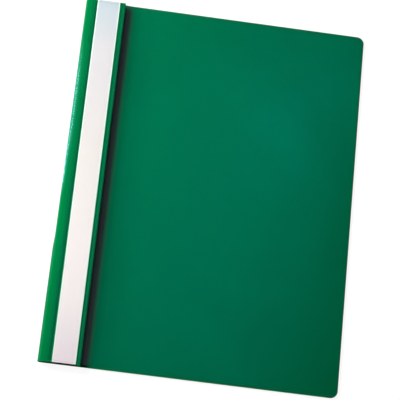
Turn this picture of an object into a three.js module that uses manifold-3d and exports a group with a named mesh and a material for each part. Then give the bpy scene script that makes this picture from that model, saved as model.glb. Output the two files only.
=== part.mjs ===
// A4 report file, empty and closed, lying on its back cover.
// One coloured plastic sheet folds round the filing edge into back cover, spine and front flap.
// A clear film lies over the flap, where it forms the title pocket, and goes on as the front cover.
// A two-prong fastener with a bar and two sliders sits on a filing strip under the flap.
// Millimetres. X runs from the filing edge to the opening edge, Y up the page, Z up.
// The origin is at the middle of the outline, on the underside of the back cover.
import * as THREE from 'three';
import { mergeVertices } from 'three/addons/utils/BufferGeometryUtils.js';
import Module from 'manifold-3d';

const wasm = await Module();
wasm.setup();

const { PI, cos, sin, sqrt, abs, max, min } = Math;
const degrees = PI / 180;

// Sheets
const file_width = 233;
const file_height = 310;
const sheet_thickness = 0.3; // coloured sheet
const film_thickness = 0.2; // clear film
const paper_thickness = 0.2; // title strip
const stack_gap = 0.05; // clearance between pieces that lie on each other
const back_corner_radius = 6;
const corner_steps = 7;

// Folds of the coloured sheet along the filing edge
const fold_groove = 0.1; // open width of the scored line at each fold
const fold_angle = 45 * degrees; // how far each cover turns up to its scored line
const lower_fold_radius = 1.2;
const upper_fold_radius = 2;
const shoulder_radius = 28; // the flap rises gently from the fold to its flat
const shoulder_angle = 12 * degrees;
const spine_reach_head = 0.9; // how strongly the spine bows out towards the top edge
const spine_reach_tail = 2; // and towards the bottom edge
const spine_step_y = -57; // where the one bow passes into the other
const spine_step_length = 14;
const spine_steps = 8;
const flap_roll_radius = 10; // the flap's free edge is rolled down a little
const flap_roll_angle = 10 * degrees;

// Title strip and its pocket
const title_margin = 10.5; // from the outline at the filing edge to the strip
const title_width = 18.4;
const title_length = 309.4;
const title_shift = 0.15; // the strip sits this much nearer the top edge
const title_skew = 0.18 * degrees; // it lies slightly askew in its pocket
const title_side_gap = 0.3;
const left_weld_width = 2.6;
const right_weld_width = 3.3;
const pocket_ramp = 0.6;

// Front cover
const cover_inset = 1; // shorter than the back cover at the opening edge
const film_end_inset = 1.5; // shorter than the back cover at both ends
const cover_corner_radius = 5;
const cover_rest_gap = 0.4; // the empty file's cover lies this far above the back cover
const slope_length = 16; // from the flap's edge down to the flat of the cover
const slope_steps = 10;

// Fastener
const metal_thickness = 0.3;
const paper_edge = 7.5; // from the outline at the filing edge to the filed sheets
const hole_margin = 12; // from the edge of the filed sheets to their holes
const prong_spacing = 80;
const prong_width = 6;
const prong_tip_width = 4.6;
const prong_length = 26; // from the fold at the riser to the tip
const prong_taper_length = 9;
const prong_barrel_radius = 0.3; // bead of the bend where the prong folds over
const riser_gap = 0.1;
const base_bend_radius = 0.5;
const slot_clearance = 0.3;
const strip_width = 26;
const strip_overhang = 35; // past each prong
const strip_flange = 3.5; // welded margin on both long sides
const strip_ramp = 1.2;
const strip_corner_radius = 3;
const bar_width = 12;
const bar_overhang = 16; // past each prong
const bar_corner_radius = 3;
const bar_roll_radius = 0.6; // outer radius of the curled edges
const bar_lip = 0.5; // flat of the curl that points back over the channel
const bar_lift = 4; // how far the raised prongs travel inward through the bar, per radian
const slider_thickness = 0.25;
const slider_length = 8;
const slider_park = 5; // centre of a parked slider from the middle of the bar
const slider_side_gap = 0.1;
const slider_lip = 2.3; // hooks this far under the bar
const slider_bend_radius = 0.5;
const slider_rib_width = 5; // pressed-in rib that holds the prong down
const slider_rib_slope = 0.8;
const prong_hold_gap = 0.1; // between the rib and the folded prong
const flap_clearance = 1.1; // free height over the sliders

// Places across the file
const filing_edge = -file_width / 2;
const opening_edge = file_width / 2;
const bow = (reach) => 0.75 * reach * sin(fold_angle); // how far a bowed spine stands out
const groove_inset = (fold_groove / 2) * cos(fold_angle); // from a fold to the edge of its groove
const fold_x = filing_edge + groove_inset + bow(max(spine_reach_head, spine_reach_tail));
const title_x = filing_edge + title_margin + title_width / 2;
const pocket_width = title_width * cos(title_skew) + title_length * sin(title_skew) + 2 * title_side_gap;
const pocket_left = title_x - pocket_width / 2;
const pocket_right = title_x + pocket_width / 2;
const flap_edge = pocket_right + right_weld_width;
const fastener_x = filing_edge + paper_edge + hole_margin;

// Heights, each piece stacked on the one below
const base_z = sheet_thickness + stack_gap;
const strip_z = base_z + metal_thickness + stack_gap;
const slider_z = strip_z + sheet_thickness + stack_gap;
const bar_z = slider_z + slider_thickness + stack_gap;
const arm_z = bar_z + metal_thickness + stack_gap;
const prong_fold_z = arm_z + metal_thickness / 2;
const bar_top = bar_z + 2 * bar_roll_radius;
const slider_inner_top = bar_top + stack_gap;
const slider_top = slider_inner_top + slider_thickness;
const flap_top = slider_top + flap_clearance + sheet_thickness;
const film_z = flap_top + stack_gap;
const window_z = film_z + paper_thickness + stack_gap;
const cover_top = sheet_thickness + cover_rest_gap + film_thickness;
const lower_fold_z = lower_fold_radius * (1 - cos(fold_angle));
const shoulder_rise = shoulder_radius * (1 - cos(shoulder_angle));
const upper_fold_rise = upper_fold_radius * (cos(shoulder_angle) - cos(fold_angle));
const upper_fold_z = flap_top - shoulder_rise - upper_fold_rise;

function material(color, roughness, metalness = 0, opacity = 1) {
  return new THREE.MeshStandardMaterial({ color, roughness, metalness, opacity, transparent: opacity < 1 });
}

const green = material('#00764d', 0.42);
const clear = material('#e4f2ee', 0.12, 0, 0.25);
const white = material('#f1eded', 0.85);
const tinned = material('#c6c8ca', 0.3, 1);

// A pen that draws one surface of a section in straight runs, bends and sweeps.
// It keeps each point with its heading. The surface's outward side is on the pen's left.
class Pen {
  constructor(x, z, heading) {
    this.points = [{ x, z, heading }];
  }

  get last() {
    return this.points[this.points.length - 1];
  }

  run(length) {
    const { x, z, heading } = this.last;
    this.points.push({ x: x + length * cos(heading), z: z + length * sin(heading), heading });
    return this;
  }

  bend(radius, angle, steps) {
    const { x, z, heading } = this.last;
    const turn = Math.sign(angle);
    const centre_x = x - turn * radius * sin(heading);
    const centre_z = z + turn * radius * cos(heading);
    for (let i = 1; i <= steps; i += 1) {
      const h = heading + (angle * i) / steps;
      this.points.push({ x: centre_x + turn * radius * sin(h), z: centre_z - turn * radius * cos(h), heading: h });
    }
    return this;
  }

  sweep(x, z, heading, reach_out, reach_in, steps) {
    const from = this.last;
    const curve = new THREE.CubicBezierCurve(
      new THREE.Vector2(from.x, from.z),
      new THREE.Vector2(from.x + reach_out * cos(from.heading), from.z + reach_out * sin(from.heading)),
      new THREE.Vector2(x - reach_in * cos(heading), z - reach_in * sin(heading)),
      new THREE.Vector2(x, z),
    );
    for (let i = 1; i <= steps; i += 1) {
      const at = curve.getPoint(i / steps);
      const along = curve.getTangent(i / steps);
      this.points.push({ x: at.x, z: at.y, heading: i < steps ? along.angle() : heading });
    }
    return this;
  }

  // Forgets what was drawn and starts at the place reached.
  restart() {
    this.points = [this.last];
    return this;
  }
}

function signedVolume(positions, triangles) {
  const corner = [new THREE.Vector3(), new THREE.Vector3(), new THREE.Vector3()];
  let volume = 0;
  for (let i = 0; i < triangles.length; i += 3) {
    corner.forEach((v, k) => v.fromArray(positions, 3 * triangles[i + k]));
    volume += corner[0].dot(corner[1].clone().cross(corner[2])) / 6;
  }
  return volume;
}

function closedGeometry(positions, triangles) {
  const outward = signedVolume(positions, triangles) > 0 ? triangles : triangles.slice().reverse();
  const geometry = new THREE.BufferGeometry();
  geometry.setAttribute('position', new THREE.Float32BufferAttribute(positions, 3));
  geometry.setIndex(outward);
  geometry.computeVertexNormals();
  return geometry;
}

// A bent sheet: section(y) gives the outward surface at each station along Y, and the
// sheet is `thickness` deep behind it. All stations have the same number of points.
function bentSheet(section, stations, thickness) {
  const positions = [];
  const sections = stations.map((y) => section(y).points);
  sections.forEach((points, j) => {
    for (const { x, z, heading } of points) {
      positions.push(x, stations[j], z);
      positions.push(x + thickness * sin(heading), stations[j], z - thickness * cos(heading));
    }
  });
  const count = sections[0].length;
  const outer = (j, i) => 2 * (j * count + i);
  const inner = (j, i) => outer(j, i) + 1;
  const triangles = [];
  const quad = (a, b, c, d) => triangles.push(a, b, c, a, c, d);
  const last = stations.length - 1;
  for (let i = 0; i + 1 < count; i += 1) {
    for (let j = 0; j < last; j += 1) {
      quad(outer(j, i), outer(j, i + 1), outer(j + 1, i + 1), outer(j + 1, i));
      quad(inner(j, i), inner(j + 1, i), inner(j + 1, i + 1), inner(j, i + 1));
    }
    quad(outer(0, i), inner(0, i), inner(0, i + 1), outer(0, i + 1));
    quad(outer(last, i), outer(last, i + 1), inner(last, i + 1), inner(last, i));
  }
  for (let j = 0; j < last; j += 1) {
    quad(outer(j, 0), outer(j + 1, 0), inner(j + 1, 0), inner(j, 0));
    quad(outer(j, count - 1), inner(j, count - 1), inner(j + 1, count - 1), outer(j + 1, count - 1));
  }
  return closedGeometry(positions, triangles);
}

// Closed outline of a thin strip of sheet metal or plastic seen from its end.
function stripShape(pen, thickness) {
  const outer = pen.points.map(({ x, z }) => new THREE.Vector2(x, z));
  const inner = pen.points.map(
    ({ x, z, heading }) => new THREE.Vector2(x + thickness * sin(heading), z - thickness * cos(heading)),
  );
  return new THREE.Shape([...outer, ...inner.reverse()]);
}

function extrude(shape, depth, curveSegments = 8) {
  return new THREE.ExtrudeGeometry(shape, { depth, curveSegments, bevelEnabled: false });
}

// An outline in X and Z drawn out along Y, centred on y = 0.
function extrudeAlongY(shape, length) {
  return extrude(shape, length).rotateX(PI / 2).translate(0, length / 2, 0);
}

function roundedRectangle(width, height, radius) {
  const x = width / 2;
  const y = height / 2;
  const shape = new THREE.Shape();
  shape.moveTo(x - radius, -y);
  shape.absarc(x - radius, radius - y, radius, -PI / 2, 0);
  shape.absarc(x - radius, y - radius, radius, 0, PI / 2);
  shape.absarc(radius - x, y - radius, radius, PI / 2, PI);
  shape.absarc(radius - x, radius - y, radius, PI, 1.5 * PI);
  return shape;
}

function solid(geometry) {
  const bare = geometry.clone();
  bare.deleteAttribute('normal');
  bare.deleteAttribute('uv');
  const merged = mergeVertices(bare, 1e-5);
  const vertProperties = new Float32Array(merged.attributes.position.array);
  const triVerts = new Uint32Array(merged.index.array);
  return new wasm.Manifold(new wasm.Mesh({ numProp: 3, vertProperties, triVerts }));
}

function geometryOf(manifold) {
  const { vertProperties, triVerts } = manifold.getMesh();
  const geometry = new THREE.BufferGeometry();
  geometry.setAttribute('position', new THREE.Float32BufferAttribute(vertProperties, 3));
  geometry.setIndex(Array.from(triVerts));
  geometry.computeVertexNormals();
  return geometry;
}

function piece(name, geometry, surface, x = 0, y = 0, z = 0) {
  const mesh = new THREE.Mesh(geometry, surface.clone());
  mesh.name = name;
  mesh.position.set(x, y, z);
  return mesh;
}

// How much a sheet with round corners is cut back at height y.
function cornerInset(y, half_height, radius) {
  const into = max(0, abs(y) - (half_height - radius));
  return radius - sqrt(max(0, radius * radius - into * into));
}

function cornerStations(half_height, radius) {
  const upper = [];
  for (let i = 0; i <= corner_steps; i += 1) {
    upper.push(half_height - radius + radius * sin((i / corner_steps) * (PI / 2)));
  }
  return [...upper.map((y) => -y).reverse(), ...upper];
}

function backCover() {
  const flat_start = fold_x + lower_fold_radius * sin(fold_angle);
  const turn = fold_angle - fold_groove / 2 / lower_fold_radius;
  const section = (y) => {
    const end = opening_edge - cornerInset(y, file_height / 2, back_corner_radius);
    return new Pen(end, 0, PI).run(end - flat_start).bend(lower_fold_radius, -turn, 4);
  };
  return piece('back_cover', bentSheet(section, cornerStations(file_height / 2, back_corner_radius), sheet_thickness), green);
}

// The spine between the two scored lines. It bows out more towards the bottom edge.
function spineReach(y) {
  const start = spine_step_y - spine_step_length / 2;
  const share = min(1, max(0, (y - start) / spine_step_length));
  return spine_reach_tail + (spine_reach_head - spine_reach_tail) * share * share * (3 - 2 * share);
}

function spine() {
  const x = fold_x - groove_inset;
  const groove_rise = (fold_groove / 2) * sin(fold_angle);
  const section = (y) => {
    const reach = spineReach(y);
    const pen = new Pen(x, lower_fold_z + groove_rise, PI - fold_angle);
    return pen.sweep(x, upper_fold_z - groove_rise, fold_angle, reach, reach, spine_steps);
  };
  const stations = [-file_height / 2];
  for (let i = 0; i <= 6; i += 1) {
    stations.push(spine_step_y + spine_step_length * (i / 6 - 0.5));
  }
  stations.push(file_height / 2);
  return piece('spine', bentSheet(section, stations, sheet_thickness), green);
}

function frontFlap() {
  const groove_turn = fold_groove / 2 / upper_fold_radius;
  const roll_start = flap_edge - flap_roll_radius * sin(flap_roll_angle);
  const section = () => {
    const pen = new Pen(fold_x, upper_fold_z, fold_angle).bend(upper_fold_radius, -groove_turn, 1).restart();
    pen.bend(upper_fold_radius, groove_turn + shoulder_angle - fold_angle, 4);
    pen.bend(shoulder_radius, -shoulder_angle, 4);
    return pen.run(roll_start - pen.last.x).bend(flap_roll_radius, -flap_roll_angle, 3);
  };
  return piece('front_flap', bentSheet(section, [-file_height / 2, file_height / 2], sheet_thickness), green);
}

// Clear film on the flap: a weld, the raised window over the title strip, the second weld,
// and the rolled edge, where it creases into the front cover. Drawn on its upper face.
function titlePocket() {
  const weld_top = film_z + film_thickness;
  const window_top = window_z + film_thickness;
  const film_roll_radius = flap_roll_radius + stack_gap + film_thickness;
  const roll_start = flap_edge - flap_roll_radius * sin(flap_roll_angle);
  const groove_turn = fold_groove / 2 / film_roll_radius;
  const ramp_reach = pocket_ramp / 2;
  const section = () => {
    const pen = new Pen(pocket_left - pocket_ramp - left_weld_width, weld_top, 0).run(left_weld_width);
    pen.sweep(pocket_left, window_top, 0, ramp_reach, ramp_reach, 4).run(pocket_width);
    pen.sweep(pocket_right + pocket_ramp, weld_top, 0, ramp_reach, ramp_reach, 4);
    return pen.run(roll_start - pen.last.x).bend(film_roll_radius, groove_turn - flap_roll_angle, 3);
  };
  const end = file_height / 2 - film_end_inset;
  return piece('title_pocket', bentSheet(section, [-end, end], film_thickness), clear);
}

function titleStrip() {
  const mesh = piece('title_strip', new THREE.BoxGeometry(title_width, title_length, paper_thickness), white);
  mesh.position.set(title_x, title_shift, film_z + paper_thickness / 2);
  mesh.rotation.z = title_skew;
  return mesh;
}

// Where the film creases at the flap's edge, on its upper face.
function creasePoint() {
  const film_roll_radius = flap_roll_radius + stack_gap + film_thickness;
  const roll_start = flap_edge - flap_roll_radius * sin(flap_roll_angle);
  return new Pen(roll_start, film_z + film_thickness, 0).bend(film_roll_radius, -flap_roll_angle, 1).last;
}

function frontCover() {
  const crease = creasePoint();
  const half_height = file_height / 2 - film_end_inset;
  const slope_end = crease.x + slope_length;
  const reach = slope_length / 2.4;
  const section = (y) => {
    const end = opening_edge - cover_inset - cornerInset(y, half_height, cover_corner_radius);
    const pen = new Pen(crease.x, crease.z, crease.heading).run(fold_groove / 2).restart();
    return pen.sweep(slope_end, cover_top, 0, reach, reach, slope_steps).run(end - slope_end);
  };
  return piece('front_cover', bentSheet(section, cornerStations(half_height, cover_corner_radius), film_thickness), clear);
}

// Plastic strip that bridges the fastener's base and is welded down along both long sides.
function filingStrip() {
  const length = prong_spacing + 2 * strip_overhang;
  const rise = strip_z - base_z;
  const flange_top = base_z + sheet_thickness;
  const bridge = strip_width - 2 * (strip_flange + strip_ramp);
  const reach = strip_ramp / 2;
  const section = () => {
    const pen = new Pen(-strip_width / 2, flange_top, 0).run(strip_flange);
    pen.sweep(-bridge / 2, flange_top + rise, 0, reach, reach, 4).run(bridge);
    return pen.sweep(bridge / 2 + strip_ramp, flange_top, 0, reach, reach, 4).run(strip_flange);
  };
  const outline = extrude(roundedRectangle(strip_width, length, strip_corner_radius), flap_top);
  let strip = solid(bentSheet(section, [-length / 2, length / 2], sheet_thickness)).intersect(solid(outline));
  for (const side of [-1, 1]) {
    const slot = new THREE.BoxGeometry(
      prong_width + 2 * slot_clearance,
      metal_thickness + 2 * slot_clearance,
      2 * flap_top,
    ).translate(0, (side * prong_spacing) / 2, 0);
    strip = strip.subtract(solid(slot));
  }
  return piece('filing_strip', geometryOf(strip), green, fastener_x);
}

// Flat steel strip bent up at both ends into the risers that carry the prongs.
function fastenerBase() {
  const riser_top = prong_fold_z - prong_barrel_radius - riser_gap;
  const half = prong_spacing / 2 + metal_thickness / 2;
  const riser = riser_top - base_z - base_bend_radius;
  const section = () => {
    const pen = new Pen(-half, riser_top, -PI / 2).run(riser).bend(base_bend_radius, PI / 2, 4);
    return pen.run(2 * (half - base_bend_radius)).bend(base_bend_radius, PI / 2, 4).run(riser);
  };
  const metal = -metal_thickness; // the pen runs round the outside with the metal on its left
  const strip = bentSheet(section, [-prong_width / 2, prong_width / 2], metal).rotateZ(PI / 2);
  return piece('fastener_base', strip, tinned, fastener_x);
}

// One prong folded inward over the bar: a tapering blade with a round tip and the bead of its bend.
function prong(name, side) {
  const half = prong_width / 2;
  const tip = prong_tip_width / 2;
  const blade = new THREE.Shape();
  blade.moveTo(-half, 0);
  blade.lineTo(-half, prong_taper_length - prong_length);
  blade.lineTo(-tip, tip - prong_length);
  blade.absarc(0, tip - prong_length, tip, PI, 2 * PI);
  blade.lineTo(half, prong_taper_length - prong_length);
  blade.lineTo(half, 0);
  const plate = extrude(blade, metal_thickness, 7).translate(0, 0, -metal_thickness / 2);
  const bead = new THREE.CylinderGeometry(prong_barrel_radius, prong_barrel_radius, prong_width, 14);
  const mesh = piece(name, geometryOf(solid(plate).add(solid(bead.rotateZ(PI / 2)))), tinned);
  mesh.position.set(fastener_x, (side * prong_spacing) / 2, prong_fold_z);
  mesh.rotation.z = side > 0 ? 0 : PI;
  return mesh;
}

// Steel bar with curled edges. The prongs come up through its two slots, which reach
// inward far enough for the bar to be lifted off while the prongs straighten.
function compressorBar() {
  const length = prong_spacing + 2 * bar_overhang;
  const plate = roundedRectangle(bar_width - 2 * bar_roll_radius, length, bar_corner_radius);
  const half_slot = prong_width / 2 + slot_clearance;
  const outer = prong_spacing / 2 + prong_barrel_radius + slot_clearance;
  const inner = prong_spacing / 2 - bar_lift - 2 * slot_clearance;
  for (const side of [-1, 1]) {
    const slot = new THREE.Path();
    slot.moveTo(-half_slot, side * inner);
    slot.lineTo(half_slot, side * inner);
    slot.lineTo(half_slot, side * outer);
    slot.lineTo(-half_slot, side * outer);
    plate.holes.push(slot);
  }
  let bar = solid(extrude(plate, metal_thickness));
  const curl_start = bar_width / 2 - bar_roll_radius;
  const overlap = 2 * metal_thickness;
  for (const side of [-1, 1]) {
    const pen = new Pen(curl_start - overlap, 0, 0).run(overlap).bend(bar_roll_radius, PI, 10).run(bar_lip);
    const curl = extrudeAlongY(stripShape(pen, -metal_thickness), length - 2 * bar_corner_radius);
    bar = bar.add(solid(side > 0 ? curl : curl.rotateZ(PI)));
  }
  return piece('compressor_bar', geometryOf(bar), tinned, fastener_x, 0, bar_z);
}

// A sheet-metal sleeve wrapped round the bar. The rib pressed into its top holds the prong down.
function slider(name, side) {
  const inner_half = bar_width / 2 + slider_side_gap;
  const rib_drop = slider_inner_top - (arm_z + metal_thickness + prong_hold_gap);
  const height = slider_inner_top - slider_z + slider_thickness;
  const flat = inner_half + slider_thickness - slider_bend_radius;
  const rib_half = slider_rib_width / 2;
  const rib_reach = slider_rib_slope / 2;
  const pen = new Pen(inner_half - slider_lip, 0, 0).run(flat - inner_half + slider_lip);
  pen.bend(slider_bend_radius, PI / 2, 4).run(height - 2 * slider_bend_radius).bend(slider_bend_radius, PI / 2, 4);
  pen.run(flat - rib_half - slider_rib_slope);
  pen.sweep(rib_half, height - rib_drop, PI, rib_reach, rib_reach, 4).run(slider_rib_width);
  pen.sweep(-rib_half - slider_rib_slope, height, PI, rib_reach, rib_reach, 4).run(flat - rib_half - slider_rib_slope);
  pen.bend(slider_bend_radius, PI / 2, 4).run(height - 2 * slider_bend_radius).bend(slider_bend_radius, PI / 2, 4);
  pen.run(flat - inner_half + slider_lip);
  const sleeve = extrudeAlongY(stripShape(pen, -slider_thickness), slider_length);
  return piece(name, sleeve, tinned, fastener_x, side * slider_park, slider_z);
}

const report_file = new THREE.Group();
report_file.add(
  backCover(),
  spine(),
  frontFlap(),
  titlePocket(),
  titleStrip(),
  frontCover(),
  filingStrip(),
  fastenerBase(),
  prong('prong_top', 1),
  prong('prong_bottom', -1),
  compressorBar(),
  slider('slider_top', 1),
  slider('slider_bottom', -1),
);

export default report_file;
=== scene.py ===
"""A4 report file, empty and closed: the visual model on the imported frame.

Lengths in the drawing code are millimetres, as in the part's source; the meshes are made in
metres. X runs from the filing edge to the opening edge, Y up the page, Z up.
"""

import math

import bmesh
import bpy
import numpy as np
from mathutils import Matrix, Vector


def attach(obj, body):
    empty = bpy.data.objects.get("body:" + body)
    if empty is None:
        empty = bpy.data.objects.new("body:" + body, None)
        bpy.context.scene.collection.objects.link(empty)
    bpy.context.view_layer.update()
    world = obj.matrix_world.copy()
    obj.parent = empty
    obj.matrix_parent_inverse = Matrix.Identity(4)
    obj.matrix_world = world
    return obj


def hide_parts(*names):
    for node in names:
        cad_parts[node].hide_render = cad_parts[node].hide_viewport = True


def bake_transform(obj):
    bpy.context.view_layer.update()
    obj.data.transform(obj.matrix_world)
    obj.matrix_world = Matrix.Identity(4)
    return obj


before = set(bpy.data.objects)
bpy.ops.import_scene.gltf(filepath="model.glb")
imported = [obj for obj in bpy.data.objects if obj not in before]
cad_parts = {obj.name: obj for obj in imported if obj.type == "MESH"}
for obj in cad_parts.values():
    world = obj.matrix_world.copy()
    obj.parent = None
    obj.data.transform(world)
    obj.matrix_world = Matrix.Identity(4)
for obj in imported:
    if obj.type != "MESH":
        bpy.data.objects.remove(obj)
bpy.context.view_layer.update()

MM = 0.001
pi, sin, cos, sqrt = math.pi, math.sin, math.cos, math.sqrt

# Sheets, as in the part's source
FILE_WIDTH = 233
FILE_HEIGHT = 310
SHEET = 0.3
FILM = 0.2
PAPER = 0.2
STACK_GAP = 0.05
COVER_GAP = 0.4
BACK_CORNER = 6
GROOVE = 0.1
FOLD_ANGLE = math.radians(45)
LOWER_FOLD_RADIUS = 1.2
UPPER_FOLD_RADIUS = 2
SHOULDER_RADIUS = 28
SHOULDER_ANGLE = math.radians(12)
SPINE_REACH_HEAD = 0.9
SPINE_REACH_TAIL = 2
SPINE_STEP_Y = -57
SPINE_STEP_LENGTH = 14
BOW_PER_REACH = 0.75  # how far a curve bows out for each unit of its reach
FLAP_TOP = 4.25
ROLL_RADIUS = 10
ROLL_ANGLE = math.radians(10)
TITLE_MARGIN = 10.5
TITLE_WIDTH = 18.4
TITLE_LENGTH = 309.4
TITLE_SHIFT = 0.15
TITLE_SKEW = math.radians(0.18)
TITLE_GAP = 0.3
LEFT_WELD = 2.6
RIGHT_WELD = 3.3
POCKET_RAMP = 0.6
COVER_INSET = 1
FILM_END_INSET = 1.5
COVER_CORNER = 5
SLOPE_LENGTH = 16
SLOPE_REACH = SLOPE_LENGTH / 2.4

# Places that follow from them
FILING_EDGE = -FILE_WIDTH / 2
OPENING_EDGE = FILE_WIDTH / 2
HALF_HEIGHT = FILE_HEIGHT / 2
FILM_HALF = HALF_HEIGHT - FILM_END_INSET
COVER_EDGE = OPENING_EDGE - COVER_INSET
GROOVE_INSET = GROOVE / 2 * cos(FOLD_ANGLE)
GROOVE_RISE = GROOVE / 2 * sin(FOLD_ANGLE)
FOLD_X = FILING_EDGE + GROOVE_INSET + BOW_PER_REACH * SPINE_REACH_TAIL * sin(FOLD_ANGLE)
BACK_FLAT_X = FOLD_X + LOWER_FOLD_RADIUS * sin(FOLD_ANGLE)
TITLE_X = FILING_EDGE + TITLE_MARGIN + TITLE_WIDTH / 2
POCKET_WIDTH = TITLE_WIDTH * cos(TITLE_SKEW) + TITLE_LENGTH * sin(TITLE_SKEW) + 2 * TITLE_GAP
POCKET_LEFT = TITLE_X - POCKET_WIDTH / 2
POCKET_RIGHT = TITLE_X + POCKET_WIDTH / 2
FLAP_EDGE = POCKET_RIGHT + RIGHT_WELD
FILM_Z = FLAP_TOP + STACK_GAP
WINDOW_Z = FILM_Z + PAPER + STACK_GAP
COVER_TOP = SHEET + COVER_GAP + FILM
LOWER_FOLD_Z = LOWER_FOLD_RADIUS * (1 - cos(FOLD_ANGLE))
UPPER_FOLD_Z = (
    FLAP_TOP
    - SHOULDER_RADIUS * (1 - cos(SHOULDER_ANGLE))
    - UPPER_FOLD_RADIUS * (cos(SHOULDER_ANGLE) - cos(FOLD_ANGLE))
)
FILM_ROLL_RADIUS = ROLL_RADIUS + STACK_GAP + FILM
ROLL_START = FLAP_EDGE - ROLL_RADIUS * sin(ROLL_ANGLE)

# How far the strips that bridge the folds reach
LOWER_SKIN_TURN = 0.5  # share of the lower bend
SPINE_SKIN_SHARE = 0.12  # share of the spine's curve, at each end
UPPER_SKIN_TURN = math.radians(14)
CREASE_SKIN = 0.35
CREASE_SKIN_TURN = CREASE_SKIN / FILM_ROLL_RADIUS
SLOPE_SKIN_SHARE = CREASE_SKIN / (3 * SLOPE_REACH)
FOLD_BLEND = 0.3  # how far each side of a hinge a bridging strip's end points are worked out
CREASE_BLEND = 0.33

# Free edges: the radius as a share of the thickness, and stations near the edge in such radii
EDGE_ROUNDING = 0.45
EDGE_ZONE = 2.5
FIRST_STATIONS = (0.3, 1, EDGE_ZONE)
LAST_STATIONS = (1.5, 2.2, EDGE_ZONE)
RIM = EDGE_ROUNDING * SHEET
FILM_RIM = EDGE_ROUNDING * FILM
PAPER_RIM = EDGE_ROUNDING * PAPER
CORNER_STEPS = 12
CLOSEST_ROWS = 0.02
SHARP_ANGLE = math.radians(35)

# Shallow waves of the free film: share of the height, millimetres for each radian along X and
# along Y, and phase
WAVE_HEIGHT = 0.16
WAVES = ((0.5, 47, 61, 0.6), (0.32, 83, -39, 2.1), (0.18, 21, 29, 4.0))
WAVE_START = FLAP_EDGE + 0.6 * SLOPE_LENGTH
WAVE_FADE = 25


# Drawing sections


class Pen:
    """Draws the outward surface of a section; each point is (x, z, heading)."""

    def __init__(self, x, z, heading):
        self.points = [(x, z, heading)]

    def run(self, length, steps=1):
        """A straight line in equal steps."""
        return self.stations(length / steps, range(1, steps + 1))

    def stations(self, unit, counts):
        """Points straight ahead, each at its count of units from here."""
        x, z, h = self.points[-1]
        for count in counts:
            d = unit * count
            self.points.append((x + d * cos(h), z + d * sin(h), h))
        return self

    def bend(self, radius, angle, steps):
        """An arc that turns by the angle, to the left where it is positive."""
        x, z, h = self.points[-1]
        turn = math.copysign(1, angle)
        cx, cz = x - turn * radius * sin(h), z + turn * radius * cos(h)
        for i in range(1, steps + 1):
            a = h + angle * i / steps
            self.points.append((cx + turn * radius * sin(a), cz - turn * radius * cos(a), a))
        return self

    def sweep(self, x, z, heading, reach, steps, first=0.0, last=1.0):
        """A curve to (x, z, heading), or its part from share first to share last."""
        x0, z0, h0 = self.points[-1]
        p = np.array(
            [
                (x0, z0),
                (x0 + reach * cos(h0), z0 + reach * sin(h0)),
                (x - reach * cos(heading), z - reach * sin(heading)),
                (x, z),
            ]
        )
        if first > 0:
            self.points[-1] = curve_point(p, first)
        for i in range(1, steps + 1):
            self.points.append(curve_point(p, first + (last - first) * i / steps))
        return self

    def restart(self):
        """Forgets all but the last point."""
        self.points = [self.points[-1]]
        return self


def curve_point(p, t):
    s = 1 - t
    at = s**3 * p[0] + 3 * s * s * t * p[1] + 3 * s * t * t * p[2] + t**3 * p[3]
    along = 3 * (s * s * (p[1] - p[0]) + 2 * s * t * (p[2] - p[1]) + t * t * (p[3] - p[2]))
    return at[0], at[1], math.atan2(along[1], along[0])


def smooth_step(t):
    t = np.clip(t, 0, 1)
    return t * t * (3 - 2 * t)


def corner_cut(y, half, radius):
    """How far a rounded corner draws the edge in at this height."""
    into = max(0.0, abs(y) - (half - radius))
    return radius - sqrt(max(0.0, radius * radius - into * into))


# Meshes


def link_mesh(name, verts, faces, attributes=()):
    mesh = bpy.data.meshes.new(name)
    mesh.from_pydata([tuple(v) for v in verts], [], faces)
    bm = bmesh.new()
    bm.from_mesh(mesh)
    bmesh.ops.recalc_face_normals(bm, faces=bm.faces)
    bm.to_mesh(mesh)
    bm.free()
    mesh.polygons.foreach_set("use_smooth", [True] * len(mesh.polygons))
    mesh.set_sharp_from_angle(angle=SHARP_ANGLE)
    for key, values in attributes:
        layer = mesh.attributes.new(key, "FLOAT", "POINT")
        layer.data.foreach_set("value", np.asarray(values, np.float32))
    made = bpy.data.objects.new(name, mesh)
    bpy.context.scene.collection.objects.link(made)
    return made


def edge_rows(half, radius, thickness, spacing):
    """Stations along Y, close together at the rounded edge and in the corners."""
    r = EDGE_ROUNDING * thickness
    inward = {0.0, *(share * r for share in FIRST_STATIONS)}
    if radius:
        inward |= {radius * (1 - sin(a * pi / 2 / CORNER_STEPS)) for a in range(CORNER_STEPS + 1)}
    inward = sorted(inward)
    kept = [inward[0]]
    for v in inward[1:]:
        if v - kept[-1] > CLOSEST_ROWS:
            kept.append(v)
    upper = [half - v for v in kept]
    middle = upper[-1]
    count = max(2, int(2 * middle / spacing))
    inner = list(np.linspace(-middle, middle, count + 1))
    return [-v for v in upper[:-1]] + inner + upper[:-1][::-1]


def only_ends(half):
    """Distance from the free edge of a strip that is free at its head and tail only."""
    return lambda y, xs, along: np.full(len(xs), half - abs(y))


def end_and_corners(half, radius, end_x):
    """Distance from the nearest free edge, where the edge at end_x has rounded corners."""

    def distance(y, xs, along):
        u = np.abs(end_x - xs)
        v = half - abs(y)
        if v < radius:
            corner = radius - np.hypot(np.maximum(radius - u, 0), radius - v)
            return np.where(u < radius, corner, v)
        return np.minimum(u, v)

    return distance


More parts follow.
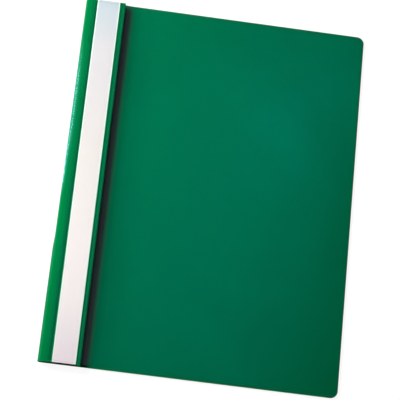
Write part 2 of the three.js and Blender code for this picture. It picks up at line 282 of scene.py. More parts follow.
def sheet(name, section, rows, thickness, distance, wave=None):
    """A closed thin sheet with rounded free edges. section(y) gives its outward face and
    distance(y, xs, along) how far each point is from the nearest free edge."""
    r = EDGE_ROUNDING * thickness
    top, bottom, rim = [], [], []
    for y in rows:
        pts = np.array(section(y), float)
        n = np.stack([-np.sin(pts[:, 2]), np.cos(pts[:, 2])], 1)
        steps = np.hypot(np.diff(pts[:, 0]), np.diff(pts[:, 1]))
        along = np.concatenate([[0], np.cumsum(steps)])
        d = np.maximum(distance(y, pts[:, 0], along), 0)
        near = r - np.minimum(d, r)
        h = thickness / 2 - r + np.sqrt(np.maximum(r * r - near * near, 0))
        mid = pts[:, :2] - n * thickness / 2
        if wave is not None:
            mid = mid + np.stack([np.zeros(len(pts)), wave(pts[:, 0], y)], 1)
        for side, out in ((1, top), (-1, bottom)):
            q = mid + side * n * h[:, None]
            out.append(np.stack([q[:, 0], np.full(len(q), y), q[:, 1]], 1))
        rim.append(d)
    count, cols = len(rows), len(top[0])
    verts = np.concatenate([np.array(top).reshape(-1, 3), np.array(bottom).reshape(-1, 3)]) * MM

    def at(layer, j, i):
        return layer * count * cols + j * cols + i

    faces = []
    for j in range(count - 1):
        for i in range(cols - 1):
            faces.append((at(0, j, i), at(0, j, i + 1), at(0, j + 1, i + 1), at(0, j + 1, i)))
            faces.append((at(1, j, i), at(1, j + 1, i), at(1, j + 1, i + 1), at(1, j, i + 1)))
    for i in range(cols - 1):
        for j in (0, count - 1):
            faces.append((at(0, j, i), at(1, j, i), at(1, j, i + 1), at(0, j, i + 1)))
    for j in range(count - 1):
        for i in (0, cols - 1):
            faces.append((at(0, j, i), at(0, j + 1, i), at(1, j + 1, i), at(1, j, i)))
    flat = np.array(rim).ravel()
    return link_mesh(name, verts, faces, [("rim", np.concatenate([flat, flat]))])


# The coloured sheet


def spine_curve(y, first, last, steps):
    """Points of the spine's curve, from share first to share last of it."""
    step = smooth_step((y - SPINE_STEP_Y + SPINE_STEP_LENGTH / 2) / SPINE_STEP_LENGTH)
    reach = SPINE_REACH_TAIL + (SPINE_REACH_HEAD - SPINE_REACH_TAIL) * step
    x = FOLD_X - GROOVE_INSET
    pen = Pen(x, LOWER_FOLD_Z + GROOVE_RISE, pi - FOLD_ANGLE)
    pen.sweep(x, UPPER_FOLD_Z - GROOVE_RISE, FOLD_ANGLE, reach, steps, first, last)
    return pen.points


SPINE_STEP_ROWS = 10
spine_rows = sorted(
    set(
        np.round(edge_rows(HALF_HEIGHT, 0, SHEET, spacing=8), 4).tolist()
        + [
            round(SPINE_STEP_Y + SPINE_STEP_LENGTH * (i / SPINE_STEP_ROWS - 0.5), 4)
            for i in range(SPINE_STEP_ROWS + 1)
        ]
    )
)


def back_sheet():
    def section(y):
        end = OPENING_EDGE - corner_cut(y, HALF_HEIGHT, BACK_CORNER)
        pen = Pen(end, 0, pi).stations(RIM, FIRST_STATIONS)
        pen.run(pen.points[-1][0] - BACK_FLAT_X, steps=40)
        return pen.bend(LOWER_FOLD_RADIUS, -FOLD_ANGLE * (1 - LOWER_SKIN_TURN), steps=5).points

    rows = edge_rows(HALF_HEIGHT, BACK_CORNER, SHEET, spacing=8)
    distance = end_and_corners(HALF_HEIGHT, BACK_CORNER, OPENING_EDGE)
    return sheet("back_sheet", section, rows, SHEET, distance)


def lower_fold():
    def section(y):
        pen = Pen(BACK_FLAT_X, 0, pi)
        pen.bend(LOWER_FOLD_RADIUS, -FOLD_ANGLE * (1 - LOWER_SKIN_TURN), steps=1).restart()
        pen.bend(LOWER_FOLD_RADIUS, -FOLD_ANGLE * LOWER_SKIN_TURN, steps=6)
        return pen.points + spine_curve(y, 0, SPINE_SKIN_SHARE, steps=5)

    return sheet("lower_fold", section, spine_rows, SHEET, only_ends(HALF_HEIGHT))


def spine_sheet():
    def section(y):
        return spine_curve(y, SPINE_SKIN_SHARE, 1 - SPINE_SKIN_SHARE, steps=16)

    return sheet("spine_sheet", section, spine_rows, SHEET, only_ends(HALF_HEIGHT))


def upper_fold():
    def section(y):
        pen = Pen(FOLD_X, UPPER_FOLD_Z, FOLD_ANGLE)
        pen.bend(UPPER_FOLD_RADIUS, -UPPER_SKIN_TURN, steps=6)
        return spine_curve(y, 1 - SPINE_SKIN_SHARE, 1, steps=5) + pen.points

    return sheet("upper_fold", section, spine_rows, SHEET, only_ends(HALF_HEIGHT))


def flap_sheet():
    def section(y):
        pen = Pen(FOLD_X, UPPER_FOLD_Z, FOLD_ANGLE)
        pen.bend(UPPER_FOLD_RADIUS, -UPPER_SKIN_TURN, steps=1).restart()
        pen.bend(UPPER_FOLD_RADIUS, UPPER_SKIN_TURN + SHOULDER_ANGLE - FOLD_ANGLE, steps=5)
        pen.bend(SHOULDER_RADIUS, -SHOULDER_ANGLE, steps=12)
        pen.run(ROLL_START - pen.points[-1][0], steps=8)
        pen.bend(ROLL_RADIUS, -ROLL_ANGLE * 0.9, steps=7)
        return pen.bend(ROLL_RADIUS, -ROLL_ANGLE * 0.1, steps=3).points

    def distance(y, xs, along):
        return np.minimum(along[-1] - along, HALF_HEIGHT - abs(y))

    rows = edge_rows(HALF_HEIGHT, 0, SHEET, spacing=10)
    return sheet("flap_sheet", section, rows, SHEET, distance)


# The clear film


def film_roll():
    """The film where it starts to roll down at the flap's edge."""
    return Pen(ROLL_START, FILM_Z + FILM, 0)


def crease_point():
    return film_roll().bend(FILM_ROLL_RADIUS, -ROLL_ANGLE, steps=1).points[-1]


def film_slope(first, last, steps):
    """The film on its way from the crease down to the cover, or a part of it."""
    x, z, heading = crease_point()
    pen = Pen(x, z, heading)
    return pen.sweep(x + SLOPE_LENGTH, COVER_TOP, 0, SLOPE_REACH, steps, first, last)


def pocket_film():
    weld_top = FILM_Z + FILM
    window_top = WINDOW_Z + FILM
    ramp_reach = POCKET_RAMP / 2

    def section(y):
        pen = Pen(POCKET_LEFT - POCKET_RAMP - LEFT_WELD, weld_top, 0)
        pen.stations(FILM_RIM, FIRST_STATIONS)
        pen.run(POCKET_LEFT - POCKET_RAMP - pen.points[-1][0], steps=3)
        pen.sweep(POCKET_LEFT, window_top, 0, ramp_reach, steps=8).run(POCKET_WIDTH, steps=12)
        pen.sweep(POCKET_RIGHT + POCKET_RAMP, weld_top, 0, ramp_reach, steps=8)
        pen.run(ROLL_START - pen.points[-1][0], steps=3)
        return pen.bend(FILM_ROLL_RADIUS, CREASE_SKIN_TURN - ROLL_ANGLE, steps=8).points

    def distance(y, xs, along):
        return np.minimum(along, FILM_HALF - abs(y))

    rows = edge_rows(FILM_HALF, 0, FILM, spacing=10)
    return sheet("pocket_film", section, rows, FILM, distance)


def crease_strip():
    def section(y):
        roll = film_roll()
        roll.bend(FILM_ROLL_RADIUS, CREASE_SKIN_TURN - ROLL_ANGLE, steps=1).restart()
        roll.bend(FILM_ROLL_RADIUS, -CREASE_SKIN_TURN, steps=7)
        return roll.points + film_slope(0, SLOPE_SKIN_SHARE, steps=7).points[1:]

    rows = edge_rows(FILM_HALF, 0, FILM, spacing=10)
    return sheet("crease_strip", section, rows, FILM, only_ends(FILM_HALF))


def cover_wave(xs, y):
    """The free film isn't quite flat: long, shallow waves that die out at the crease."""
    swell = sum(
        share * np.sin(xs / length_x + y / length_y + phase)
        for share, length_x, length_y, phase in WAVES
    )
    return WAVE_HEIGHT * smooth_step((xs - WAVE_START) / WAVE_FADE) * swell


def cover_film():
    def section(y):
        end = COVER_EDGE - corner_cut(y, FILM_HALF, COVER_CORNER)
        pen = film_slope(SLOPE_SKIN_SHARE, 1, steps=24)
        pen.run(end - EDGE_ZONE * FILM_RIM - pen.points[-1][0], steps=44)
        return pen.stations(FILM_RIM, LAST_STATIONS).points

    distance = end_and_corners(FILM_HALF, COVER_CORNER, COVER_EDGE)
    rows = edge_rows(FILM_HALF, COVER_CORNER, FILM, spacing=7)
    return sheet("cover_film", section, rows, FILM, distance, wave=cover_wave)


def title_card():
    half = TITLE_WIDTH / 2

    def section(y):
        pen = Pen(-half, PAPER, 0).stations(PAPER_RIM, FIRST_STATIONS)
        pen.run(TITLE_WIDTH - 2 * EDGE_ZONE * PAPER_RIM, steps=10)
        return pen.stations(PAPER_RIM, LAST_STATIONS).points

    def distance(y, xs, along):
        return half - np.abs(xs)

    rows = edge_rows(TITLE_LENGTH / 2, 0, PAPER, spacing=12)
    made = sheet("title_card", section, rows, PAPER, distance)
    place = Matrix.Translation((TITLE_X * MM, TITLE_SHIFT * MM, FILM_Z * MM))
    made.data.transform(place @ Matrix.Rotation(TITLE_SKEW, 4, "Z"))
    return made


# Shader helpers


def node(tree, kind, inputs=None, **settings):
    made = tree.nodes.new(kind)
    for key, value in settings.items():
        setattr(made, key, value)
    for key, value in (inputs or {}).items():
        socket = made.inputs[key]
        if isinstance(value, bpy.types.NodeSocket):
            tree.links.new(value, socket)
        else:
            socket.default_value = value
    return made


def new_material(name):
    made = bpy.data.materials.new(name)
    made.use_nodes = True
    made.node_tree.nodes.clear()
    return made, made.node_tree


def finish_material(tree, shader):
    node(tree, "ShaderNodeOutputMaterial", {"Surface": shader.outputs[0]})


def mix(tree, share, a, b, blend="MIX"):
    inputs = {0: share, 6: a, 7: b}
    return node(tree, "ShaderNodeMix", inputs, data_type="RGBA", blend_type=blend).outputs[2]


def mix_value(tree, share, a, b):
    return node(tree, "ShaderNodeMix", {0: share, 2: a, 3: b}).outputs[0]


def mix_shader(tree, share, a, b):
    return node(tree, "ShaderNodeMixShader", {0: share, 1: a.outputs[0], 2: b.outputs[0]})


def math_node(tree, operation, a, b=0.0, clamp=False):
    made = node(tree, "ShaderNodeMath", {0: a, 1: b}, operation=operation, use_clamp=clamp)
    return made.outputs[0]


def add(tree, a, b):
    return math_node(tree, "ADD", a, b)


def multiply(tree, a, b):
    return math_node(tree, "MULTIPLY", a, b)


def between(tree, value, low, high, out_low=0.0, out_high=1.0, smooth=True):
    """Goes from out_low at low to out_high at high and stays there beyond."""
    kind = "SMOOTHSTEP" if smooth else "LINEAR"
    inputs = {
        "Value": value,
        "From Min": low,
        "From Max": high,
        "To Min": out_low,
        "To Max": out_high,
    }
    return node(tree, "ShaderNodeMapRange", inputs, interpolation_type=kind).outputs[0]


def between_mm(tree, value, low, high, out_low=0.0, out_high=1.0):
    return between(tree, value, low * MM, high * MM, out_low, out_high)


def blended(tree, share, low, high):
    """Goes straight from low to high as the share goes from 0 to 1."""
    return between(tree, share, 0.0, 1.0, low, high, smooth=False)


def noise(tree, vector, scale, detail=2.0):
    inputs = {"Vector": vector, "Scale": scale, "Detail": detail, "Roughness": 0.5}
    return node(tree, "ShaderNodeTexNoise", inputs).outputs["Fac"]


def stretched_noise(tree, vector, scales, detail):
    mapped = node(tree, "ShaderNodeMapping", {"Vector": vector, "Scale": scales})
    return noise(tree, mapped.outputs[0], scale=1, detail=detail)


def bump(tree, height, strength, depth):
    """Normal of a fine relief that is depth millimetres deep."""
    inputs = {"Strength": strength, "Distance": depth * MM, "Height": height}
    return node(tree, "ShaderNodeBump", inputs).outputs[0]


def position(tree):
    return node(tree, "ShaderNodeTexCoord").outputs["Object"]


def axes(tree, vector):
    return node(tree, "ShaderNodeSeparateXYZ", {"Vector": vector}).outputs


def rays(tree):
    return node(tree, "ShaderNodeLightPath").outputs


def rim_distance(tree):
    """Millimetres from the nearest free edge."""
    return node(tree, "ShaderNodeAttribute", attribute_name="rim").outputs["Fac"]


def transparent(tree, tint):
    return node(tree, "ShaderNodeBsdfTransparent", {"Color": tint})


def diffuse(tree, tint):
    return node(tree, "ShaderNodeBsdfDiffuse", {"Color": tint})


def colour(r, g, b):
    return (r, g, b, 1.0)


def grey(level):
    return colour(level, level, level)


WHITE = grey(1)

# The coloured sheet
GREEN = colour(0.0, 0.153, 0.049)
GREEN_CLOUDS = colour(0.0, 0.163, 0.053)
GREEN_GRAIN = colour(0.0, 0.20, 0.07)
GREEN_GLINT = colour(0.0, 0.25, 0.26)
EDGE_SCUFFS = colour(0.10, 0.36, 0.22)
# Painted highlight along the folded edge: its sheen and its glinting specks
PAINTED_SHEEN = colour(0.012, 0.20, 0.115)
PAINTED_GLINT_SPECKS = colour(0.12, 0.52, 0.43)
GREEN_ROUGHNESS = (0.34, 0.42)
GREEN_IOR = 1.46
PORE_SCALE = 1150
TAIL_LIGHT_FADE = (60, -50)  # where the painted brightening towards the tail fades in, up the page

# The painted highlight along the folded edge, a sheen with glinting specks: how it fades in up
# the page and where it lies across
GLINT_HEAD = (125, 68)
GLINT_TAIL = (-20, 0)
GLINT_SHIFT = (0, 45)
GLINT_X = (FOLD_X - 0.2, FOLD_X + 1.1)
SHEEN_REACH = (3.0, 0.3)
SHEEN_STRENGTH = 0.9
GLINT_SPECKS_REACH = (0.8, 0.3)

# The film: tints of its mirror and of what shines through, then how rough and hazy it is and
# how much it mirrors
MIRROR_ABOVE = colour(0.0, 0.92, 0.82)
MIRROR_LOW = colour(0.9, 0.95, 0.95)
MIRROR_FOOT = colour(0.0, 0.88, 1.0)
MIRROR_SLOPE = colour(0.0, 0.62, 0.92)
MIRROR_CREASE = colour(0.82, 0.62, 0.95)
FILM_HAZE = colour(0.25, 0.90, 0.80)
COVER_SHADE = grey(0.98)
COVER_CLEAR = colour(0.905, 0.922, 0.92)
COVER_EDGE_CLEAR = colour(0.55, 0.68, 0.66)
POCKET_CLEAR = colour(0.995, 0.998, 0.995)
POCKET_EDGE_CLEAR = colour(0.93, 0.94, 0.94)
# Painted shade, seen through the pocket film: on the seams beside the window, on the strip right
# of it and on the left margin towards the window
PAINTED_SHADE_CLEAR = grey(0.90)
MARGIN_SHADE_CLEAR = colour(0.80, 0.80, 0.82)
FILM_ROUGHNESS = (0.11, 0.15)
STREAK_ROUGHNESS = 0.1
MIRROR_STRAIGHT_ON = 0.028  # share of the light that the film mirrors
MIRROR_GRAZING = 0.97  # what is added to it at a grazing view
GRAZING_POWER = 5.0
HAZE_SHARE = 0.0005
STREAK_HAZE = 0.004
COVER_EDGE_HAZE = 0.05
KNURL_HAZE = 0.012
SEAM_MIRROR = 0.12  # share of the mirror that is left on the seams beside the window

# The cover film at its slope: places in millimetres past the flap's edge, and changes there
FOOT_START = (5, 12)
FOOT_END = (38, 15)
FOOT_ROUGHNESS = 0.20
FOOT_GAIN = 1.35
SLOPE_TINT = (14, 8)
CREASE_TINT = (9.5, 3.5)
FLAP_SIDE = (0.6, 2.6)
FLAP_SIDE_MIRROR = 0.35

# Places across the pocket film
# Where painted shade starts on the strip right of the window and deepens on the left margin
RIGHT_SHADE_START = (POCKET_RIGHT + 0.6, POCKET_RIGHT + 1.6)
MARGIN_SHADING = (POCKET_LEFT - 4.2, POCKET_LEFT - 0.6)
MARGIN_END = (POCKET_LEFT - 0.1, POCKET_LEFT + 0.3)
STRIPE_SOFTNESS = 0.2
KNURLED_STRIPES = (
    (POCKET_LEFT - 2.6, POCKET_LEFT - 1.5),
    (POCKET_RIGHT + 1.5, POCKET_RIGHT + 2.4),
)
# The seams beside the window mirror less and carry a painted shade line
SEAM_SHADE_STRIPES = (
    (POCKET_LEFT - 0.9, POCKET_LEFT + 0.2),
    (POCKET_RIGHT - 0.2, POCKET_RIGHT + 0.9),
)

# The card's painted light and shade: tints, each reached between two places up the page, in this
# order
CARD_WHITE = colour(0.86, 0.77, 0.738)
CARD_LIGHT_AND_SHADE = (
    (0, 100, colour(0.72, 0.655, 0.675)),
    (100, 165, colour(0.49, 0.57, 0.62)),
    (30, -90, colour(1.0, 0.882, 0.882)),
    (-100, -160, colour(0.95, 0.79, 0.85)),
)
CARD_CLOUDS = colour(1.0, 0.96, 0.95)
CARD_FIBRES = colour(0.85, 0.825, 0.81)
# Painted highlight along the card's edges
CARD_EDGE_HIGHLIGHT = colour(0.80, 0.99, 0.89)

STEEL_DARK = colour(0.60, 0.61, 0.62)
STEEL_LIGHT = colour(0.70, 0.71, 0.72)
STEEL_SPOTS = colour(0.52, 0.52, 0.51)


# Materials


def painted_glint_line(tree, at, tone):
    """Paints a highlight along the folded edge's upper middle: a paler sheen with glinting specks
    in it.
    """
    x, y, _ = axes(tree, at)
    line = between_mm(tree, y, *GLINT_SHIFT, GLINT_X[0] * MM, GLINT_X[1] * MM)
    away = math_node(tree, "ABSOLUTE", math_node(tree, "SUBTRACT", x, line))
    stretch = multiply(tree, between_mm(tree, y, *GLINT_HEAD), between_mm(tree, y, *GLINT_TAIL))
    sheen = multiply(tree, between_mm(tree, away, *SHEEN_REACH, 0.0, SHEEN_STRENGTH), stretch)
    tone = mix(tree, sheen, tone, PAINTED_SHEEN)
    specks = stretched_noise(tree, at, (1400, 900, 1400), detail=3)
    specks = between(tree, specks, 0.46, 0.60)
    close = multiply(tree, between_mm(tree, away, *GLINT_SPECKS_REACH), stretch)
    return mix(tree, multiply(tree, close, specks), tone, PAINTED_GLINT_SPECKS)


def embossed_sheet(name, depth=1.0, blueness=1.0, painted_tail_light=1.0, worn_and_glinting=True):
    """Coloured plastic sheet with a fine embossed grain. With wear asked for, it is a little
    paler at its free edges and has a painted highlight along the folded edge; depth and the tail
    scale paint light or shade onto each piece.
    """
    made, tree = new_material(name)
    at = position(tree)
    clouds = between(tree, noise(tree, at, scale=16, detail=3), 0.35, 0.65)
    tone = mix(tree, clouds, GREEN, GREEN_CLOUDS)
    fine = between(tree, noise(tree, at, scale=420, detail=3), 0.3, 0.7, 0, 0.12)
    tone = mix(tree, fine, tone, GREEN_GRAIN)
    # Painted light or shade: each piece's copy is scaled brighter or darker by depth, and
    # blueness makes it less blue
    tone = mix(tree, 1.0, tone, colour(depth, depth, depth * blueness), blend="MULTIPLY")
    # Painted light towards the tail, where the lamp's light falls off
    tail = between_mm(tree, axes(tree, at)[1], *TAIL_LIGHT_FADE, 1.0, painted_tail_light)
    scaled = node(tree, "ShaderNodeVectorMath", {0: tone, "Scale": tail}, operation="SCALE")
    tone = scaled.outputs[0]
    if worn_and_glinting:
        edge = between(tree, rim_distance(tree), 0.0, 0.35, 1.0, 0.0)
        scuffs = between(tree, noise(tree, at, scale=900, detail=2), 0.45, 0.7, 0, 0.35)
        tone = mix(tree, multiply(tree, edge, scuffs), tone, EDGE_SCUFFS)
        # Painted highlight along the folded edge
        tone = painted_glint_line(tree, at, tone)
    inputs = {"Vector": at, "Scale": PORE_SCALE}
    pores = node(tree, "ShaderNodeTexVoronoi", inputs, feature="SMOOTH_F1")
    grain = add(tree, noise(tree, at, scale=1500, detail=1), pores.outputs["Distance"])
    patches = noise(tree, at, scale=60, detail=2)
    inputs = {
        "Base Color": tone,
        "Roughness": between(tree, patches, 0.3, 0.7, *GREEN_ROUGHNESS),
        "IOR": GREEN_IOR,
        "Specular Tint": GREEN_GLINT,
        "Normal": bump(tree, grain, strength=0.6, depth=0.06),
    }
    finish_material(tree, node(tree, "ShaderNodeBsdfPrincipled", inputs))
    return made


def stripe(tree, across, low, high):
    """1 between two places across the film, with soft sides."""
    soft = STRIPE_SOFTNESS
    return multiply(
        tree,
        between_mm(tree, across, low - soft, low + soft),
        between_mm(tree, across, high - soft, high + soft, 1.0, 0.0),
    )


def clear_film(name, welded=False):
    """Clear film: it mirrors a little, lets nearly all else through and has faint haze."""
    made, tree = new_material(name)
    at = position(tree)
    across = axes(tree, at)[0]
    streaks = stretched_noise(tree, at, (900, 90, 300), detail=2)
    streaks = between(tree, streaks, 0.66, 0.78)
    grain = noise(tree, at, scale=900, detail=2)
    normal = bump(tree, grain, strength=0.12, depth=0.02)
    rough = between(tree, noise(tree, at, scale=22, detail=2), 0.3, 0.7, *FILM_ROUGHNESS)
    rough = add(tree, rough, multiply(tree, streaks, STREAK_ROUGHNESS))
    layer = node(tree, "ShaderNodeLayerWeight", {"Blend": 0.5, "Normal": normal})
    facing = layer.outputs["Facing"]
    grazing = math_node(tree, "POWER", facing, GRAZING_POWER)
    mirrored = add(tree, multiply(tree, grazing, MIRROR_GRAZING), MIRROR_STRAIGHT_ON)
    low_view = between(tree, facing, 0.12, 0.3)
    edge_haze = 0.0 if welded else COVER_EDGE_HAZE
    cloud = between(tree, rim_distance(tree), 0.0, 0.5, edge_haze, 0.0)
    cloud = add(tree, cloud, multiply(tree, streaks, STREAK_HAZE))
    cloud = add(tree, cloud, HAZE_SHARE)
    edge = between(tree, rim_distance(tree), 0.0, 0.7, 1.0, 0.0)

    if welded:
        tint = mix(tree, low_view, MIRROR_ABOVE, MIRROR_LOW)
        knurl = stretched_noise(tree, at, (900, 900, 10), detail=1)
        knurl = between(tree, knurl, 0.4, 0.6, 0.0, KNURL_HAZE)
        for low, high in KNURLED_STRIPES:
            cloud = add(tree, cloud, multiply(tree, stripe(tree, across, low, high), knurl))
        seam_shades = [stripe(tree, across, low, high) for low, high in SEAM_SHADE_STRIPES]
        seam_shade = math_node(tree, "ADD", *seam_shades, clamp=True)
        mirrored = multiply(tree, mirrored, between(tree, seam_shade, 0, 1, 1.0, SEAM_MIRROR))
        clearness = mix(tree, edge, POCKET_CLEAR, POCKET_EDGE_CLEAR)
        # Painted shade on the strip right of the window and on the seams beside it
        right_shade = between_mm(tree, across, *RIGHT_SHADE_START)
        clearness = mix(tree, right_shade, clearness, PAINTED_SHADE_CLEAR)
        clearness = mix(tree, seam_shade, clearness, PAINTED_SHADE_CLEAR)
        # Painted shade on the left margin, deepening towards the window
        margin_shade = between_mm(tree, across, *MARGIN_SHADING)
        ended = between_mm(tree, across, *MARGIN_END, 1.0, 0.0)
        clearness = mix(tree, multiply(tree, margin_shade, ended), clearness, MARGIN_SHADE_CLEAR)
        shade = WHITE
    else:
        # At the foot of the slope the film is duller, which evens out the step in its mirror
        past_flap = add(tree, across, -FLAP_EDGE * MM)
        slope_side = between_mm(tree, past_flap, *FOOT_START)
        flat_side = between_mm(tree, past_flap, *FOOT_END)
        foot = multiply(tree, slope_side, flat_side)
        rough = add(tree, rough, multiply(tree, foot, FOOT_ROUGHNESS))
        tint = mix(tree, low_view, mix(tree, foot, MIRROR_ABOVE, MIRROR_FOOT), MIRROR_LOW)
        # On the slope the mirror's tint turns to that of the dark band, seen from above
        slope = between_mm(tree, past_flap, *SLOPE_TINT)
        redness = between_mm(tree, past_flap, *CREASE_TINT)
        from_above = multiply(tree, slope, between(tree, facing, 0.2, 0.4, 1.0, 0.0))
        bent = mix(tree, redness, MIRROR_SLOPE, MIRROR_CREASE)
        tint = mix(tree, from_above, tint, bent)
        at_flap = between_mm(tree, past_flap, *FLAP_SIDE, FLAP_SIDE_MIRROR, 1.0)
        mirrored = multiply(tree, mirrored, at_flap)
        mirrored = multiply(tree, mirrored, blended(tree, foot, 1.0, FOOT_GAIN))
        clearness = mix(tree, edge, COVER_CLEAR, COVER_EDGE_CLEAR)
        shade = COVER_SHADE

    inputs = {"Color": tint, "Roughness": rough, "Normal": normal}
    mirror = node(tree, "ShaderNodeBsdfAnisotropic", inputs)
    body = mix_shader(tree, cloud, transparent(tree, clearness), diffuse(tree, FILM_HAZE))
    whole = mix_shader(tree, mirrored, body, mirror)
    in_shadow = rays(tree)["Is Shadow Ray"]
    finish_material(tree, mix_shader(tree, in_shadow, whole, transparent(tree, shade)))
    return made


def title_paper():
    """Uncoated white card with faint fibres, with painted light and shade up the page and a
    painted highlight along its edges.
    """
    made, tree = new_material("title_paper")
    at = position(tree)
    up_page = axes(tree, at)[1]
    fibres = stretched_noise(tree, at, (1400, 500, 1400), detail=3)
    tone = CARD_WHITE
    # Painted light and shade up the page
    for low, high, tint in CARD_LIGHT_AND_SHADE:
        tone = mix(tree, between_mm(tree, up_page, low, high), tone, tint)
    clouds = between(tree, noise(tree, at, scale=45, detail=2), 0.3, 0.7, 0, 0.08)
    tone = mix(tree, clouds, tone, CARD_CLOUDS)
    tone = mix(tree, between(tree, fibres, 0.35, 0.7, 0, 0.12), tone, CARD_FIBRES)
    # Painted highlight along the card's edges
    edge = between(tree, rim_distance(tree), 0.5, 1.0, 1.0, 0.0)
    tone = mix(tree, edge, tone, CARD_EDGE_HIGHLIGHT)
    inputs = {
        "Base Color": tone,
        "Roughness": between(tree, fibres, 0.3, 0.7, 0.78, 0.92),
        "Sheen Weight": 0.05,
        "Normal": bump(tree, fibres, strength=0.5, depth=0.03),
    }
    finish_material(tree, node(tree, "ShaderNodeBsdfPrincipled", inputs))
    return made


def tinned_steel():
    """Thin tinned steel strip with fine rolling lines along its length."""
    made, tree = new_material("tinned_steel")
    at = position(tree)
    lines = stretched_noise(tree, at, (3200, 60, 3200), detail=3)
    spots = noise(tree, at, scale=220, detail=3)
    tone = mix(tree, between(tree, lines, 0.3, 0.7), STEEL_DARK, STEEL_LIGHT)
    tone = mix(tree, between(tree, spots, 0.58, 0.75, 0, 0.5), tone, STEEL_SPOTS)
    inputs = {
        "Base Color": tone,
        "Metallic": 0.8,
        "Roughness": between(tree, spots, 0.3, 0.7, 0.36, 0.5),
        "Normal": bump(tree, lines, strength=0.4, depth=0.02),
    }
    finish_material(tree, node(tree, "ShaderNodeBsdfPrincipled", inputs))
    return made


# The pieces

# Lit and shaded copies of one green sheet: painted brighter on the back, which is seen through
# the film, painted darker on the spine and the fold, which face the lamp, and painted lighter
# towards the tail on the flap and the fold; the uncovered pieces are also a little less blue
green = embossed_sheet("embossed_green_sheet", blueness=0.80, painted_tail_light=1.13)
strip_green = embossed_sheet("embossed_green_strip", worn_and_glinting=False)
back_green = embossed_sheet("embossed_green_back", 1.13)
spine_green = embossed_sheet("embossed_green_spine", 0.66, blueness=0.85)
fold_green = embossed_sheet("embossed_green_fold", 0.82, blueness=0.85, painted_tail_light=1.06)
film = clear_film("clear_cover_film")
pocket = clear_film("clear_pocket_film", welded=True)
paper = title_paper()
steel = tinned_steel()


def dress(piece, surface, body=None, nodes=()):
    piece.data.materials.append(surface)
    if body:
        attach(piece, body)
    if nodes:
        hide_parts(*nodes)
    return piece


dress(back_sheet(), back_green, "back", ["back_cover"])
dress(spine_sheet(), spine_green, "spine", ["spine"])
dress(flap_sheet(), green, "flap", ["front_flap"])
dress(pocket_film(), pocket, "flap", ["title_pocket"])
dress(title_card(), paper, "title", ["title_strip"])
dress(cover_film(), film, "cover", ["front_cover"])


def metres(x, y, z):
    return (x * MM, y * MM, z * MM)


def bridge(piece, surface, hinge, reach):
    """A strip across a hinge: it gets its material and its placement is baked into the mesh. The
    points a short way each side of the hinge are worked out too.
    """
    dress(piece, surface)
    x, z, heading = hinge
    start = metres(x - reach * cos(heading), 0, z - reach * sin(heading))
    end = metres(x + reach * cos(heading), 0, z + reach * sin(heading))
    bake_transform(piece)


LOWER_HINGE = (FOLD_X, LOWER_FOLD_Z, pi - FOLD_ANGLE)
UPPER_HINGE = (FOLD_X, UPPER_FOLD_Z, FOLD_ANGLE)
bridge(lower_fold(), spine_green, LOWER_HINGE, FOLD_BLEND)
bridge(upper_fold(), fold_green, UPPER_HINGE, FOLD_BLEND)
bridge(crease_strip(), film, crease_point(), CREASE_BLEND)


def coat(name, surface):
    """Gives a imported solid, which is shown as it is, its material."""
    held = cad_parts[name]
    held.data.materials.clear()
    held.data.materials.append(surface)


coat("filing_strip", strip_green)
coat("fastener_base", steel)
coat("prong_top", steel)
coat("prong_bottom", steel)
coat("compressor_bar", steel)
coat("slider_top", steel)
coat("slider_bottom", steel)

# Floor and light, in metres

FLOOR_HALF = 6.0
FLOOR_CELLS = 8
FLOOR_Z = -0.66 * MM  # the spine's curve dips that far when the file is folded open
FLOOR_PAINT = grey(0.8)
FLOOR_PAINT_SEEN = grey(0.17)
FLOOR_GLOW = 0.93
AMBIENT = 0.028

NET_X = (-0.128, -0.090)
NET_Y = (0.161, 0.52)
NET_Z = 6.5 * MM
NET_FADE = (0.28, 0.47)
NET_TINT = colour(0.64, 0.66, 0.66)

LAMP_PLACE = (-0.70, 0.26, 0.275)
LAMP_TARGET = (-0.20, 0.06, 0.0)
KEY_SIZE, KEY_POWER = 0.38, 13.9
GLINT_SIZE, GLINT_POWER = 0.6, 1.5

# What the film mirrors: a panel and a wall overhead, by the x and y of the ray's direction
SKY_TINT = colour(0.96, 0.98, 1.0)
PANEL_LEFT, PANEL_RIGHT = (-0.02, 0.06), (0.124, 0.142)
PANEL_NEAR, PANEL_FAR = (0.235, 0.275), (0.41, 0.46)
BRIGHT_LEFT, BRIGHT_NEAR = (0.07, 0.11), (0.31, 0.39)
PANEL_GLOW = (0.60, 1.55)
SIDE_LEFT, SIDE_RIGHT = (0.09, 0.145), (0.17, 0.24)
WALL_GLOW = (0.42, 0.32)
DARK_CORNER = (0.44, 0.27)
CORNER_LOSS = 0.32
LOW_WALL = 0.36
OVERHEAD = (0.55, 0.8)


def pale_floor():
    """A plain pale floor that the camera sees as white, with the object's shadow kept."""
    made, tree = new_material("pale_floor")
    ray = rays(tree)
    seen = math_node(tree, "MAXIMUM", ray["Is Camera Ray"], ray["Is Glossy Ray"])
    seen = math_node(tree, "MAXIMUM", seen, ray["Is Transmission Ray"])
    base = diffuse(tree, mix(tree, seen, FLOOR_PAINT, FLOOR_PAINT_SEEN))
    glow = {"Color": WHITE, "Strength": multiply(tree, seen, FLOOR_GLOW)}
    white = node(tree, "ShaderNodeEmission", glow)
    both = {0: base.outputs[0], 1: white.outputs[0]}
    finish_material(tree, node(tree, "ShaderNodeAddShader", both))
    return made


def floor():
    at = np.linspace(-FLOOR_HALF, FLOOR_HALF, FLOOR_CELLS + 1)
    verts = [(x, y, FLOOR_Z) for y in at for x in at]
    row = FLOOR_CELLS + 1
    faces = [
        (k, k + 1, k + row + 1, k + row)
        for j in range(FLOOR_CELLS)
        for k in range(j * row, j * row + FLOOR_CELLS)
    ]
    made = link_mesh("floor", verts, faces)
    made.data.materials.append(pale_floor())


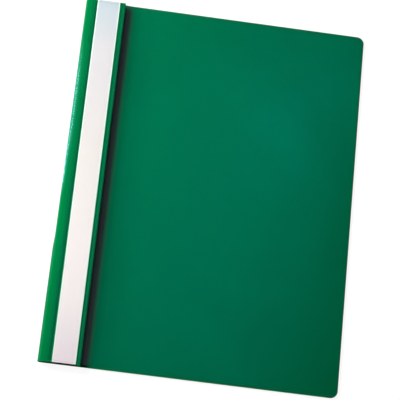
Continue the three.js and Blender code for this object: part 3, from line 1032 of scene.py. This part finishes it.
def net():
    """A fine net over the title strip's way past the head of the file. The lamp is nearest
    there, and the pulled-out card would burn out. It only thins the lamp's light."""
    (left, right), (near, far) = NET_X, NET_Y
    corners = [(left, near), (right, near), (right, far), (left, far)]
    made = link_mesh("net", [(x, y, NET_Z) for x, y in corners], [(0, 1, 2, 3)])
    weave, tree = new_material("lamp_net")
    thinned = between(tree, axes(tree, position(tree))[1], *NET_FADE)
    finish_material(tree, transparent(tree, mix(tree, thinned, NET_TINT, WHITE)))
    made.data.materials.append(weave)
    for kind in ("camera", "diffuse", "glossy", "transmission"):
        setattr(made, "visible_" + kind, False)


def softbox(name, size, power, mirrored=True):
    data = bpy.data.lights.new(name, "AREA")
    data.shape = "RECTANGLE"
    data.size = data.size_y = size
    data.energy = power
    made = bpy.data.objects.new(name, data)
    bpy.context.scene.collection.objects.link(made)
    aim = (Vector(LAMP_TARGET) - Vector(LAMP_PLACE)).to_track_quat("-Z", "Y")
    made.matrix_world = Matrix.Translation(LAMP_PLACE) @ aim.to_matrix().to_4x4()
    made.visible_glossy = mirrored


def sky():
    world = bpy.data.worlds.new("studio")
    world.use_nodes = True
    tree = world.node_tree
    tree.nodes.clear()
    x, y, z = axes(tree, node(tree, "ShaderNodeTexCoord").outputs["Generated"])

    def rise(value, ends):
        return between(tree, value, *ends)

    def fall(value, ends):
        return between(tree, value, *ends, 1.0, 0.0)

    panel = multiply(tree, rise(x, PANEL_LEFT), fall(x, PANEL_RIGHT))
    depth = multiply(tree, rise(y, PANEL_NEAR), fall(y, PANEL_FAR))
    panel = multiply(tree, panel, depth)
    bright_end = multiply(tree, rise(x, BRIGHT_LEFT), rise(y, BRIGHT_NEAR))
    panel = multiply(tree, panel, blended(tree, bright_end, *PANEL_GLOW))
    side = multiply(tree, rise(x, SIDE_LEFT), fall(x, SIDE_RIGHT))
    corner = multiply(tree, side, rise(y, DARK_CORNER))
    wall = blended(tree, side, *WALL_GLOW)
    wall = math_node(tree, "SUBTRACT", wall, blended(tree, corner, 0.0, CORNER_LOSS))
    mirror = mix_value(tree, rise(z, OVERHEAD), LOW_WALL, add(tree, wall, panel))
    ray = rays(tree)
    level = mix_value(tree, ray["Is Glossy Ray"], AMBIENT, mirror)
    level = mix_value(tree, ray["Is Camera Ray"], level, FLOOR_GLOW)
    back = node(tree, "ShaderNodeBackground", {"Color": SKY_TINT, "Strength": level})
    node(tree, "ShaderNodeOutputWorld", {"Surface": back.outputs[0]})
    bpy.context.scene.world = world


floor()
net()
sky()
softbox("key", KEY_SIZE, KEY_POWER, mirrored=False)
softbox("glint", GLINT_SIZE, GLINT_POWER)

# The camera

CAMERA_LENS = 165.494
CAMERA_SENSOR = 36
CAMERA_CLIP = (0.05, 50)
CAMERA_PLACE = Matrix(
    (
        (0.98956595, -0.12899367, -0.06418618, -0.09953685),
        (0.09855493, 0.93097502, -0.35152871, -0.52187549),
        (0.10510071, 0.34153497, 0.93397414, 1.36925526),
        (0, 0, 0, 1),
    )
)

camera_data = bpy.data.cameras.new("camera")
camera_data.lens = CAMERA_LENS
camera_data.sensor_width = CAMERA_SENSOR
camera_data.clip_start, camera_data.clip_end = CAMERA_CLIP
camera = bpy.data.objects.new("camera", camera_data)
camera.matrix_world = CAMERA_PLACE
bpy.context.scene.collection.objects.link(camera)
bpy.context.scene.camera = camera
bpy.context.scene.view_settings.view_transform = "Standard"
